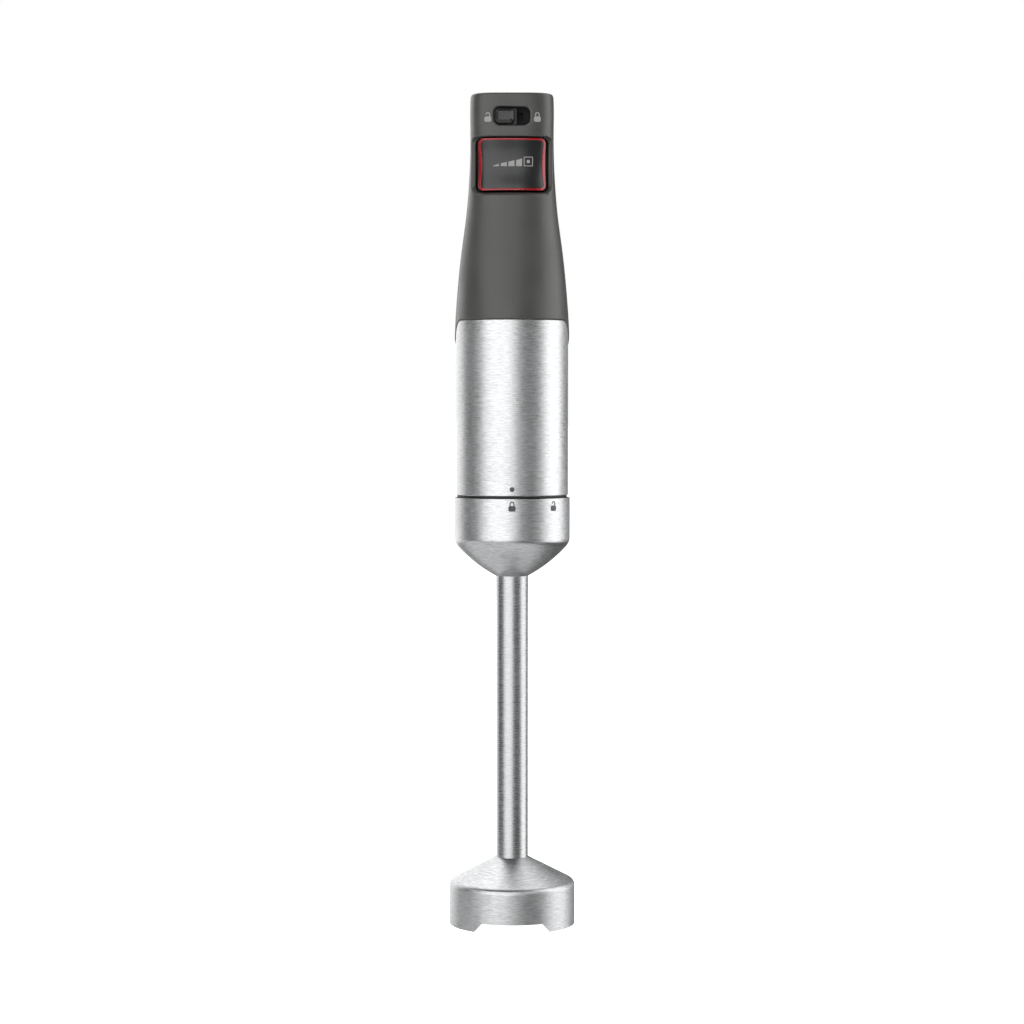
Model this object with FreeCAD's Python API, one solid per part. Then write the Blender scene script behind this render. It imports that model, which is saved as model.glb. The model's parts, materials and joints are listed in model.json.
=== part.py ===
import FreeCAD, Part
import math
import os
from FreeCAD import Vector

os.makedirs("parts", exist_ok=True)

# Cordless immersion blender, millimetres. +Z is up and the controls face -Y.
# The origin is the centre of the blade guard's rim, which the blender stands on.

# ---- overall sizes -------------------------------------------------------------------------
GUARD_R = 31.5            # blade guard skirt
GUARD_H = 34.8            # rim to the neck where the tube comes out
TUBE_R = 8.0
TUBE_SPAN = 140.0         # bare tube between the guard and the collar
COLLAR_H = 40.0           # cone and straight side of the coupling collar
SLEEVE_R = 28.0           # steel sleeve round the motor
SLEEVE_H = 87.0           # seam to the sleeve's upper edge, at the front
HANDLE_H = 111.5          # sleeve's upper edge to the top
HEAD_HALF_W = 20.5
HEAD_HALF_D = 19.2

# ---- walls and clearances ------------------------------------------------------------------
WALL = 2.4                # moulded handle shells
SHEET = 1.0               # pressed steel
GAP = 0.3                 # between separate bodies
RUN = 0.04                # radial clearance of a shaft in its bearing
SHAFT_R = 2.5

# ---- controls ------------------------------------------------------------------------------
KEY_DROP = 22.2           # top of the handle down to the key's upper edge
KEY_H = 25.6
KEY_EDGE = 3.75           # handle's side to the key's side
KEY_TRAVEL = 2.5
KEY_MARGIN = 0.5          # open line round the key
LOCK_DROP = 11.5          # top of the handle down to the lock's centre line
LOCK_SLOT_W = 17.8
LOCK_SLOT_H = 8.9
KNOB_W = 9.5
KNOB_H = 7.7
LOCK_TRAVEL = 7.3
PORT_DROP = 16.0          # top of the handle down to the charging socket

# ---- power and coupling --------------------------------------------------------------------
CELL_LEN = 65.0
LUG_COUNT = 3
TWIST = 45.0              # turn that frees the wand
LUG_HALF = 7.0            # half the angle one lug covers
SOCKET_R = SLEEVE_R - 5.4  # plug under the motor that enters the collar
SOCKET_DEPTH = 13.4
DOG_AF = 7.0              # across the flats of the drive hexagon

# ---- levels that follow ----------------------------------------------------------------------
COLLAR_Z = GUARD_H + TUBE_SPAN
SEAM_Z = COLLAR_Z + COLLAR_H
SLEEVE_TOP = SEAM_Z + SLEEVE_H
TOP_Z = SLEEVE_TOP + HANDLE_H
SLEEVE_LOW = SLEEVE_TOP - 12.5     # sleeve's upper edge round the back
KEY_Z1 = TOP_Z - KEY_DROP
KEY_Z0 = KEY_Z1 - KEY_H
KEY_Z = (KEY_Z0 + KEY_Z1) / 2
KEY_HALF_W = HEAD_HALF_W - KEY_EDGE
WELL_Z0 = KEY_Z0 - 3.2             # underside of the block the key sits in
LOCK_Z = TOP_Z - LOCK_DROP
PORT_Z = TOP_Z - PORT_DROP
CELL_TOP = WELL_Z0 - 2.3
CELL_Z0 = CELL_TOP - CELL_LEN
MOTOR_Z0 = SEAM_Z + 11.0
MOTOR_END = CELL_Z0 - 7.0
CAN_END = MOTOR_END - 7.0
CAN_R = SLEEVE_R - SHEET - 5.0
CELL_R = (HEAD_HALF_W - WALL + 0.4) / 2
PART_Y = -5.0                      # plane where the two handle shells meet
FLOOR_Y = -5.6                     # floor of the key's well
FLOOR_T = 2.0
FACE_Y = -HEAD_HALF_D

# height above the sleeve as a share of the handle, share of the way from head width to grip
# width, the same for depth, and how square the section is
SECTIONS = (
    (-0.125, 1.0, 1.0, 2.0),
    (0.0, 1.0, 1.0, 2.0),
    (0.143, 0.85, 0.725, 2.15),
    (0.321, 0.58, 0.31, 2.3),
    (0.455, 0.32, 0.12, 2.4),
    (0.554, 0.18, 0.045, 2.65),
    (0.679, 0.065, 0.02, 3.1),
    (0.8125, 0.025, 0.01, 3.6),
    (1.0, 0.0, 0.0, 3.8),
)
GRIP_R = SLEEVE_R + 0.3

# height from the key's middle as a share of the key, and how far its face is drawn in from the
# handle's side and front there
KEY_LEVELS = ((-0.6, 0.6, 0.4), (-0.3, 1.1, 1.7), (0.0, 1.7, 3.4), (0.3, 1.4, 2.8), (0.6, 0.8, 1.2))

X = Vector(1, 0, 0)
Y = Vector(0, 1, 0)
Z = Vector(0, 0, 1)


# ---- shape helpers -------------------------------------------------------------------------
def box(x0, x1, y0, y1, z0, z1):
    """Box between six coordinates."""
    return Part.makeBox(x1 - x0, y1 - y0, z1 - z0, Vector(x0, y0, z0))


def rod(r, start, end):
    """Cylinder of radius r from one point to another."""
    way = end.sub(start)
    return Part.makeCylinder(r, way.Length, start, way)


def disc(r, z0, z1):
    """Upright cylinder on the main axis."""
    return rod(r, Vector(0, 0, z0), Vector(0, 0, z1))


def ring(r_out, r_in, z0, z1):
    """Upright tube on the main axis."""
    return disc(r_out, z0, z1).cut(disc(r_in, z0 - 1, z1 + 1))


def corner(before, at, after, r):
    """Points of the arc of radius r that rounds one corner of a path."""
    u = before.sub(at).normalize()
    v = after.sub(at).normalize()
    half = u.getAngle(v) / 2
    reach = r / math.tan(half)
    centre = at.add(u.add(v).normalize().multiply(r / math.sin(half)))
    middle = centre.add(at.sub(centre).normalize().multiply(r))
    return at.add(u.multiply(reach)), middle, at.add(v.multiply(reach))


def path(points, radii, closed=False):
    """Wire through the points, with each corner rounded by its radius (0 keeps it sharp)."""
    count = len(points)
    edges = []
    last = None
    first = None
    for i, at in enumerate(points):
        inner = closed or 0 < i < count - 1
        if inner and radii[i] > 0:
            a, m, b = corner(points[i - 1], at, points[(i + 1) % count], radii[i])
            if last is not None:
                edges.append(Part.makeLine(last, a))
            edges.append(Part.Arc(a, m, b).toShape())
        else:
            a = b = at
            if last is not None:
                edges.append(Part.makeLine(last, a))
        if first is None:
            first = a
        last = b
    if closed:
        edges.append(Part.makeLine(last, first))
    return Part.Wire(edges)


def turned(points, radii=None):
    """Solid of revolution about the main axis from (radius, height) corners."""
    corners = [Vector(r, 0, z) for r, z in points]
    outline = path(corners, radii or [0] * len(corners), closed=True)
    return Part.Face(outline).revolve(Vector(), Z, 360)


def pressed(wire, wall):
    """Sheet of the given wall inside an open path, turned about the main axis."""
    return wire.makeOffset2D(-wall, fill=True, openResult=True).revolve(Vector(), Z, 360)


def panel(x0, x1, z0, z1, y0, y1, r, bow=0.0):
    """Rounded rectangle in XZ run along Y; bow draws the two upright sides inwards."""
    zm = (z0 + z1) / 2
    a, b, c, d = Vector(x0, y0, z0), Vector(x1, y0, z0), Vector(x1, y0, z1), Vector(x0, y0, z1)
    edges = [Part.makeLine(a, b), Part.makeLine(c, d)]
    if bow:
        edges.append(Part.Arc(b, Vector(x1 - bow, y0, zm), c).toShape())
        edges.append(Part.Arc(d, Vector(x0 + bow, y0, zm), a).toShape())
    else:
        edges.append(Part.makeLine(b, c))
        edges.append(Part.makeLine(d, a))
    outline = Part.Wire(Part.sortEdges(edges)[0])
    solid = Part.Face(outline).extrude(Y * (y1 - y0))
    along = [e for e in solid.Edges if e.BoundBox.YLength > (y1 - y0) * 0.9]
    return solid.makeFillet(r, along)


def hexagon(across, z0, z1):
    """Upright hexagonal prism on the main axis."""
    r = across / math.sqrt(3)
    corners = [Vector(r * math.cos(math.radians(a)), r * math.sin(math.radians(a)), z0)
               for a in range(0, 420, 60)]
    return Part.Face(Part.makePolygon(corners)).extrude(Z * (z1 - z0))


def wedge(r, half_angle, z0, z1, middle):
    """Slice of a cylinder, half_angle degrees to each side of the middle direction."""
    slice_ = Part.makeCylinder(r, z1 - z0, Vector(0, 0, z0), Z, 2 * half_angle)
    slice_.rotate(Vector(), Z, middle - half_angle)
    return slice_


def around(shape, angles):
    """Copies of a shape turned about the main axis, as a list."""
    copies = []
    for angle in angles:
        copy = shape.copy()
        copy.rotate(Vector(), Z, angle)
        copies.append(copy)
    return copies


def screw(head_r, head_h, r, length, at, way):
    """Pan-head screw with a cross recess; at is the centre of the head's seat."""
    head = rod(head_r, at, at.sub(way * head_h))
    head = head.makeFillet(head_h * 0.35, [e for e in head.Edges
                                           if e.CenterOfMass.sub(at).Length > head_h * 0.9])
    side = way.cross(X if abs(way.x) < 0.5 else Y)
    other = way.cross(side)
    top = at.sub(way * head_h)
    for arm in (side, other):
        slot = rod(head_r * 0.13, top.sub(arm * head_r * 0.5), top.add(arm * head_r * 0.5))
        head = head.cut(slot)
    return head.fuse(rod(r, at, at.add(way * length)))


def save(node, *solids):
    """Writes one node; several solids make a group."""
    shape = solids[0] if len(solids) == 1 else Part.makeCompound(list(solids))
    shape.exportStep("parts/" + node + ".step")
    print(node, len(shape.Solids), shape.isValid(), round(shape.Volume, 1))


# ---- handle form ---------------------------------------------------------------------------
def section(half_w, half_d, square, z):
    """Closed smooth outline of one level of the handle."""
    points = []
    for i in range(36):
        angle = 2 * math.pi * i / 36
        c = abs(math.cos(angle) / half_w) ** square
        s = abs(math.sin(angle) / half_d) ** square
        r = (c + s) ** (-1 / square)
        points.append(Vector(r * math.cos(angle), r * math.sin(angle), z))
    curve = Part.BSplineCurve()
    curve.interpolate(Points=points, PeriodicFlag=True)
    return Part.Wire(curve.toShape())


def size_at(share):
    """Half width, half depth and squareness of the handle at a share of its height."""
    for low, high in zip(SECTIONS, SECTIONS[1:]):
        if share <= high[0]:
            break
    t = (share - low[0]) / (high[0] - low[0])
    w, d, n = (low[k] + (high[k] - low[k]) * t for k in (1, 2, 3))
    return HEAD_HALF_W + (GRIP_R - HEAD_HALF_W) * w, HEAD_HALF_D + (GRIP_R - HEAD_HALF_D) * d, n


def handle_form(inset):
    """Solid of the handle's outside, drawn in by an inset."""
    wires = []
    for share, _, _, _ in SECTIONS:
        half_w, half_d, square = size_at(share)
        wires.append(section(half_w - inset, half_d - inset, square, SLEEVE_TOP + share * HANDLE_H))
    return Part.makeLoft(wires, True, False)


def key_form(inset):
    """Saddle that the key's face follows: drawn in most at the middle of its height."""
    wires = []
    for step, in_w, in_d in KEY_LEVELS:
        z = KEY_Z + step * KEY_H
        half_w, half_d, square = size_at((z - SLEEVE_TOP) / HANDLE_H)
        wires.append(section(half_w - in_w - inset, half_d - in_d - inset, square, z))
    return Part.makeLoft(wires, True, False)


def sleeve_side(lift):
    """Everything below the line where the steel sleeve meets the handle."""
    high, low = SLEEVE_TOP + lift, SLEEVE_LOW + lift
    bend = Part.BSplineCurve()
    bend.interpolate(Points=[Vector(-40, -13, high), Vector(-40, -5.5, high - 3.6),
                             Vector(-40, -0.5, low + 3.4), Vector(-40, 6, low)],
                     InitialTangent=Vector(0, 1, 0), FinalTangent=Vector(0, 1, 0))
    rest = Part.makePolygon([Vector(-40, 6, low), Vector(-40, 40, low), Vector(-40, 40, SEAM_Z - 20),
                             Vector(-40, -40, SEAM_Z - 20), Vector(-40, -40, high),
                             Vector(-40, -13, high)])
    outline = Part.Wire(Part.sortEdges([bend.toShape()] + rest.Edges)[0])
    return Part.Face(outline).extrude(X * 80)


FORM = handle_form(0)
OUTER = FORM.makeFillet(1.1, [e for e in FORM.Edges if e.BoundBox.ZMin > TOP_Z - 0.01])
CAVITY = handle_form(WALL)


# ---- handle shells -------------------------------------------------------------------------
CAP_LEDGE = 3.5
cavity = CAVITY.common(box(-40, 40, -40, 40, 0, TOP_Z - CAP_LEDGE))
skin = OUTER.cut(cavity).cut(sleeve_side(0.25))
cap_hole = handle_form(5.0).common(box(-40, 40, -40, 40, TOP_Z - CAP_LEDGE - 1, TOP_Z + 1))
skin = skin.cut(cap_hole)
spigot = ring(SLEEVE_R - SHEET, SLEEVE_R - SHEET - 2.4, SLEEVE_LOW - 7, SLEEVE_TOP + 1.5)
body = skin.fuse(spigot)
front_half = box(-40, 40, -40, PART_Y, SEAM_Z, TOP_Z + 1)
back_half = box(-40, 40, PART_Y, 40, SEAM_Z, TOP_Z + 1)

# the key's well: a block behind the face, hollowed for the key, with a scoop to each side
block_half = KEY_HALF_W + 3.3
block = box(-block_half, block_half, FACE_Y - 5, PART_Y, WELL_Z0, KEY_Z1 + 3.0).common(OUTER)
well_floor = box(-KEY_HALF_W - 0.7, KEY_HALF_W + 0.7, FLOOR_Y, FLOOR_Y + FLOOR_T,
                 WELL_Z0, KEY_Z1 + 3.0)
well_floor = well_floor.common(handle_form(WALL + GAP))
well = panel(-KEY_HALF_W - 2 * KEY_MARGIN, KEY_HALF_W + 2 * KEY_MARGIN, KEY_Z0 - KEY_MARGIN,
             KEY_Z1 + KEY_MARGIN, FACE_Y - 8, FLOOR_Y, 3.0)
SCOOP_HALF = HEAD_HALF_W - 0.5
RAIL_Y = FLOOR_Y - 4.9
scoop_low, scoop_high = KEY_Z0 - 1.0, KEY_Z1 + 0.8
side_view = [Vector(-60, FACE_Y - 8, scoop_low), Vector(-60, RAIL_Y - 2.4, scoop_low),
             Vector(-60, RAIL_Y, scoop_low + 3.4), Vector(-60, RAIL_Y, scoop_high - 1.6),
             Vector(-60, RAIL_Y - 1.6, scoop_high), Vector(-60, FACE_Y - 8, scoop_high)]
scoop = Part.Face(path(side_view, [0, 3.0, 3.0, 1.0, 1.0, 0], closed=True)).extrude(X * 120)
scoop = scoop.common(panel(-SCOOP_HALF, SCOOP_HALF, scoop_low, scoop_high, FACE_Y - 8, FLOOR_Y, 3.0))

# the thumb's lip under the key: the edge is eased back along the handle's own form
LIP_H = 1.9
lip_share = (scoop_low - SLEEVE_TOP) / HANDLE_H
lip_w, lip_d, lip_n = size_at(lip_share)
eased = Part.makeLoft([section(lip_w + 0.3, lip_d + 0.3, lip_n, scoop_low - LIP_H),
                       section(lip_w - 0.5, lip_d - 0.5, lip_n, scoop_low - LIP_H * 0.4),
                       section(lip_w - 1.9, lip_d - 1.9, lip_n, scoop_low + 0.2)], True, False)
lip = panel(-KEY_HALF_W - 1.6, KEY_HALF_W + 1.6, scoop_low - LIP_H, scoop_low + 0.1,
            FACE_Y - 8, FLOOR_Y - 3, 0.8)
lip = lip.cut(eased)

POST_X = 10.0
POST_R = 1.5
posts = [rod(POST_R + RUN, Vector(s * POST_X, FLOOR_Y - 1, KEY_Z), Vector(s * POST_X, 0, KEY_Z))
         for s in (-1, 1)]
magnet_hole = rod(2.4, Vector(0, FLOOR_Y - 1, KEY_Z), Vector(0, 0, KEY_Z))

# the lock's slot, and four posts that carry its guide plate
GUIDE_Y = FACE_Y + 5.1
slot_half_h = LOCK_SLOT_H / 2
slot = panel(-LOCK_SLOT_W / 2, LOCK_SLOT_W / 2, LOCK_Z - slot_half_h, LOCK_Z + slot_half_h,
             FACE_Y - 5, GUIDE_Y, 3.0)
guide_posts = [rod(1.3, Vector(s * 11.9, GUIDE_Y, LOCK_Z + t * 5.7),
                   Vector(s * 11.9, FACE_Y + 2.0, LOCK_Z + t * 5.7))
               for s in (-1, 1) for t in (-1, 1)]

front = body.common(front_half).fuse(block)
front = front.fuse(well_floor)
front = front.cut(well).cut(scoop).cut(lip).cut(slot)
for hole in posts + [magnet_hole]:
    front = front.cut(hole)
for post in guide_posts:
    front = front.fuse(post)
save("handle_front_shell", front)

# the charging opening in the back shell, under a hinged flap in a shallow recess
BACK_Y = HEAD_HALF_D
FLAP_HALF_W = 7.7
FLAP_HALF_H = 4.7
FLAP_T = 1.3
PIN_Y = BACK_Y - FLAP_T / 2
PIN_Z = PORT_Z - FLAP_HALF_H + FLAP_T / 2
PIN_R = 0.35
recess = panel(-FLAP_HALF_W - GAP, FLAP_HALF_W + GAP, PORT_Z - FLAP_HALF_H - GAP,
               PORT_Z + FLAP_HALF_H + GAP, BACK_Y - FLAP_T - GAP, BACK_Y + 5, 0.6)
port_hole = panel(-5.3, 5.3, PORT_Z - 1.9, PORT_Z + 1.9, BACK_Y - 4, BACK_Y + 5, 1.8)
pin = rod(PIN_R, Vector(-FLAP_HALF_W - 1.1, PIN_Y, PIN_Z), Vector(FLAP_HALF_W + 1.1, PIN_Y, PIN_Z))
back = body.common(back_half).cut(recess).cut(port_hole).cut(pin)
save("handle_back_shell", back)
save("flap_pin", pin)

flap = panel(-FLAP_HALF_W, FLAP_HALF_W, PIN_Z, PORT_Z + FLAP_HALF_H, BACK_Y - FLAP_T, BACK_Y, 0.5)
barrel = rod(FLAP_T / 2, Vector(-FLAP_HALF_W, PIN_Y, PIN_Z), Vector(FLAP_HALF_W, PIN_Y, PIN_Z))
stopper = panel(-4.4, 4.4, PORT_Z - 1.2, PORT_Z + 1.2, BACK_Y - FLAP_T - 1.0, BACK_Y - FLAP_T + 0.2, 1.1)
tab = box(-2.2, 2.2, BACK_Y - 0.5, BACK_Y, PORT_Z + FLAP_HALF_H - 1.4, PORT_Z + FLAP_HALF_H - 0.6)
flap = flap.fuse(barrel).fuse(stopper).common(FORM).cut(tab)
flap = flap.cut(rod(PIN_R + RUN, Vector(-30, PIN_Y, PIN_Z), Vector(30, PIN_Y, PIN_Z)))
save("port_flap", flap)

# the cap that closes the top: a plug in the hole and a flange under the ledge
plug = handle_form(5.05).common(box(-40, 40, -40, 40, TOP_Z - CAP_LEDGE, TOP_Z - 0.3))
plug = plug.makeFillet(0.6, [e for e in plug.Edges if e.BoundBox.ZMin > TOP_Z - 0.31])
flange = box(-40, 40, -40, 40, TOP_Z - CAP_LEDGE - 1.4, TOP_Z - CAP_LEDGE).common(handle_form(WALL + 0.1))
save("top_cap", plug.fuse(flange))

# ---- trigger -------------------------------------------------------------------------------
RING_W = 1.0
RING_DEPTH = 1.3
KEY_SKIRT = 1.4
SKIRT_Y = FLOOR_Y - KEY_TRAVEL - 0.9


def key_prism(inset, bow):
    """Outline of the key run along Y, drawn in by an inset."""
    return panel(-KEY_HALF_W + inset, KEY_HALF_W - inset, KEY_Z0 + inset, KEY_Z1 - inset,
                 FACE_Y - 8, SKIRT_Y, 2.6 - inset * 0.6, bow)


face_form = key_form(0)
under_ring = key_form(RING_DEPTH)
key = key_prism(0, 0.4).common(face_form)
rim = key_prism(0, 0.4).cut(key_prism(RING_W, 1.0))
key = key.cut(rim.cut(under_ring))
hollow = key_prism(KEY_SKIRT + RING_W, 0.4).common(key_form(2.2))
key = key.cut(hollow)
PLATE_Y0, PLATE_Y1 = -10.6, -9.4
for side in (-1, 1):
    boss = rod(2.2, Vector(side * 8.0, PLATE_Y0, KEY_Z), Vector(side * 8.0, FACE_Y, KEY_Z))
    key = key.fuse(boss.common(key_form(1.2)))
save("trigger_key", key.removeSplitter())
save("trigger_light_ring", rim.common(key_form(-0.15)).cut(under_ring))

carrier = panel(-12.5, 12.5, KEY_Z - 3.0, KEY_Z + 3.0, PLATE_Y0, PLATE_Y1, 2.0)
POST_END = FLOOR_Y + FLOOR_T + 1.4
for side in (-1, 1):
    carrier = carrier.fuse(rod(POST_R, Vector(side * POST_X, PLATE_Y0, KEY_Z),
                               Vector(side * POST_X, POST_END, KEY_Z)))
carrier = carrier.fuse(rod(1.9, Vector(0, PLATE_Y0, KEY_Z), Vector(0, FLOOR_Y - 0.3, KEY_Z)))
save("trigger_plunger", carrier)
clips = []
for side in (-1, 1):
    centre = Vector(side * POST_X, FLOOR_Y + FLOOR_T + GAP, KEY_Z)
    clip = rod(2.9, centre, centre.add(Y * 0.7)).cut(rod(POST_R, centre.sub(Y), centre.add(Y * 2)))
    clips.append(clip.cut(box(centre.x - 0.8, centre.x + 0.8, -9, 9, KEY_Z, KEY_Z + 5)))
save("trigger_clips", *clips)

SPRING_R = 2.3
WIRE_R = 0.17
TURNS = 3
spring_len = FLOOR_Y - PLATE_Y1 - 2 * WIRE_R - 0.1


def coil(centre):
    """Compression spring along +Y, its wire drawn as a chain of eight-sided sections."""
    steps = 16 * TURNS
    climb = spring_len / TURNS / (2 * math.pi * SPRING_R)
    wires = []
    for i in range(steps + 1):
        angle = 2 * math.pi * i / 16
        out = Vector(math.cos(angle), 0, math.sin(angle))
        along = Vector(-math.sin(angle), climb, math.cos(angle)).normalize()
        side = along.cross(out)
        at = centre.add(out * SPRING_R).add(Y * (spring_len * i / steps))
        corners = []
        for k in range(8):
            turn = k * math.pi / 4
            corners.append(at.add(out * (WIRE_R * math.cos(turn))).add(side * (WIRE_R * math.sin(turn))))
        wires.append(Part.makePolygon(corners + corners[:1]))
    return Part.makeLoft(wires, True, True)


COIL_Y = PLATE_Y1 + WIRE_R + 0.05
save("trigger_springs", *[coil(Vector(side * POST_X, COIL_Y, KEY_Z)) for side in (-1, 1)])

# ---- safety lock ---------------------------------------------------------------------------
KNOB_X0 = -LOCK_SLOT_W / 2 + 0.5
KNOB_X = KNOB_X0 + KNOB_W / 2
CARRIAGE_Y0, CARRIAGE_Y1 = FACE_Y + 3.7, FACE_Y + 4.7
KNOB_FACE = FACE_Y - 2.0
knob = panel(KNOB_X0, KNOB_X0 + KNOB_W, LOCK_Z - KNOB_H / 2, LOCK_Z + KNOB_H / 2,
             FACE_Y - 0.2, CARRIAGE_Y0, 2.2)


def knob_level(shrink, y, r):
    """Rounded square outline of the knob at one depth."""
    w, h = KNOB_W / 2 - shrink, KNOB_H / 2 - shrink
    signs = ((-1, -1), (1, -1), (1, 1), (-1, 1))
    corners = [Vector(KNOB_X + a * w, y, LOCK_Z + b * h) for a, b in signs]
    return path(corners, [r] * 4, closed=True)


knob_foot = knob_level(0, FACE_Y - 0.2, 2.2)
knob_edge = knob_level(0.35, FACE_Y - 1.0, 1.9)
knob_top = knob_level(1.75, KNOB_FACE, 0.9)
knob = knob.fuse(Part.makeLoft([knob_foot, knob_edge], True, True))
knob = knob.fuse(Part.makeLoft([knob_edge, knob_top], True, True))
save("lock_knob", knob.removeSplitter())

carriage = panel(KNOB_X - 6.0, KNOB_X0 + KNOB_W + 1.2, LOCK_Z - 4.05, LOCK_Z + 4.05,
                 CARRIAGE_Y0, CARRIAGE_Y1, 0.8)
STEM_END = -3.2
stem = box(KNOB_X - 1.5, KNOB_X + 1.5, CARRIAGE_Y1 - 0.2, STEM_END, LOCK_Z - 1.5, LOCK_Z + 1.5)
save("lock_carriage", carriage.fuse(stem).removeSplitter())
guide = panel(-13.2, 13.2, LOCK_Z - 6.8, LOCK_Z + 6.3, GUIDE_Y, GUIDE_Y + 1.0, 1.5)
guide = guide.common(handle_form(WALL + 0.1))
guide = guide.cut(box(KNOB_X - 2.0, KNOB_X + LOCK_TRAVEL + 2.0, -40, 0, LOCK_Z - 2.0, LOCK_Z + 2.0))
save("lock_guide", guide)

# ---- electronics ---------------------------------------------------------------------------
BOARD_Y = 1.0
board = box(-15, 15, BOARD_Y, BOARD_Y + 1.6, KEY_Z - 11, LOCK_Z + 4.5)
for x, z, w, h, t in ((-9, KEY_Z + 9, 5, 5, 1.2), (0, KEY_Z - 6, 7, 4, 1.0), (9, KEY_Z + 8, 3.5, 6, 2.4),
                      (10, KEY_Z - 6, 4, 4, 1.6), (-10, KEY_Z - 6, 3, 5, 1.6)):
    board = board.fuse(box(x - w / 2, x + w / 2, BOARD_Y + 1.6, BOARD_Y + 1.6 + t, z - h / 2, z + h / 2))
save("control_board", board)
sensor = box(-4, 4, FLOOR_Y + 3.2, BOARD_Y, KEY_Z - 3.5, KEY_Z + 3.5)
save("trigger_sensor", sensor)
lock_switch = box(-7, 7, STEM_END + 0.4, BOARD_Y, LOCK_Z - 3.2, LOCK_Z + 3.2)
upright = [e for e in lock_switch.Edges if e.BoundBox.YLength > 3]
save("lock_switch", lock_switch.makeFillet(0.4, upright))

SOCKET_Y0 = BACK_Y - 9.9
SOCKET_Y1 = BACK_Y - WALL - 0.2
shell = panel(-4.5, 4.5, PORT_Z - 1.65, PORT_Z + 1.65, SOCKET_Y0, SOCKET_Y1, 1.6)
inside = panel(-4.2, 4.2, PORT_Z - 1.35, PORT_Z + 1.35, SOCKET_Y0 + 1.5, SOCKET_Y1 + 1, 1.3)
tongue = box(-3.3, 3.3, SOCKET_Y0 + 1.0, SOCKET_Y1 - 1.2, PORT_Z - 0.35, PORT_Z + 0.35)
save("charging_socket", shell.cut(inside).fuse(tongue))
save("charging_board", box(-9, 9, BOARD_Y + 2.6, SOCKET_Y1 - 1.5, PORT_Z - 3.25, PORT_Z - 1.65))

# ---- batteries -----------------------------------------------------------------------------
cells = []
for side in (-1, 1):
    x = side * (CELL_R + 0.2)
    cell = rod(CELL_R, Vector(x, 0, CELL_Z0), Vector(x, 0, CELL_TOP - 0.8))
    cell = cell.makeFillet(0.7, [e for e in cell.Edges if e.BoundBox.ZLength < 0.01])
    nub = rod(3.0, Vector(x, 0, CELL_TOP - 1.5), Vector(x, 0, CELL_TOP))
    cells.append(cell.fuse(nub))
save("battery_cells", *cells)
save("battery_contacts", box(-13, 13, -4, 4, CELL_TOP, CELL_TOP + 0.3),
     box(-13, 13, -4, 4, CELL_Z0 - 0.3, CELL_Z0))
top_plate = panel(-CELL_R * 2, CELL_R * 2, CELL_TOP + 0.3, CELL_TOP + 1.7, -CELL_R, CELL_R, 0.4)
low_plate = panel(-CELL_R * 2, CELL_R * 2, CELL_Z0 - 2.3, CELL_Z0 - 0.3, -CELL_R, CELL_R, 0.4)
spine = box(-9, 9, CELL_R - 0.4, CELL_R + 1.4, CELL_Z0 - 2.3, CELL_TOP + 1.7)
holder = top_plate.fuse(low_plate).fuse(spine)
for side in (-1, 1):
    x = side * (CELL_R + 0.2)
    holder = holder.cut(rod(CELL_R + 0.05, Vector(x, 0, CELL_Z0 - 0.3), Vector(x, 0, CELL_TOP + 0.3)))
save("battery_holder", holder)

# ---- motor unit ----------------------------------------------------------------------------
GASKET_T = 0.9
GASKET_Z0 = SEAM_Z - 0.4
SLEEVE_Z0 = GASKET_Z0 + GASKET_T
seat_r = SOCKET_R + 0.7
sleeve = ring(SLEEVE_R, SLEEVE_R - SHEET, SLEEVE_Z0, SLEEVE_TOP + 1).common(sleeve_side(0))
sleeve = sleeve.fuse(ring(SLEEVE_R, seat_r, SLEEVE_Z0, SLEEVE_Z0 + SHEET))
lower_rim = [e for e in sleeve.Edges
             if e.BoundBox.ZMax < SLEEVE_Z0 + 0.01 and e.BoundBox.XMax > SLEEVE_R - 0.1]
sleeve = sleeve.makeFillet(0.5, lower_rim)
save("motor_sleeve", sleeve.removeSplitter())
save("seam_gasket", ring(SLEEVE_R - 0.6, SOCKET_R, GASKET_Z0, SLEEVE_Z0))

SOCKET_Z0 = SEAM_Z - SOCKET_DEPTH
FLANGE_Z0 = SLEEVE_Z0 + SHEET
FLANGE_Z1 = FLANGE_Z0 + 2.4
LUG_Z0 = SEAM_Z - 10.0
LUG_H = 4.0
SLOT_R = SOCKET_R - 2.4
plug_wall = ring(SOCKET_R, SLOT_R - 2.7, SOCKET_Z0, FLANGE_Z0)
flange = ring(SLEEVE_R - SHEET, 9.5, FLANGE_Z0, FLANGE_Z1)
neck = ring(SOCKET_R, 9.5, FLANGE_Z0 - 1.2, FLANGE_Z0)
socket = plug_wall.fuse(flange).fuse(neck)
lug_angles = [90 + 360.0 / LUG_COUNT * i for i in range(LUG_COUNT)]
slop = math.degrees(0.5 / SOCKET_R)
cuts = []
for angle in lug_angles:
    track = wedge(SOCKET_R + 1, LUG_HALF + slop + TWIST / 2, LUG_Z0 - GAP, LUG_Z0 + LUG_H + GAP,
                  angle - TWIST / 2)
    entry = wedge(SOCKET_R + 1, LUG_HALF + slop, SOCKET_Z0 - 1, LUG_Z0 + LUG_H + GAP, angle - TWIST)
    cuts.append(track.fuse(entry))
keep = disc(SLOT_R, SOCKET_Z0 - 2, FLANGE_Z0)
for track in cuts:
    socket = socket.cut(track.cut(keep))
SOCKET_SCREW_R = SOCKET_R * 0.6
screw_hole = rod(1.25, Vector(0, SOCKET_SCREW_R, FLANGE_Z0 - 2), Vector(0, SOCKET_SCREW_R, MOTOR_Z0))
socket_screw_at = around(screw_hole, [0, 120, 240])
for hole in socket_screw_at:
    socket = socket.cut(hole)
save("bayonet_socket", socket.removeSplitter())

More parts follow.
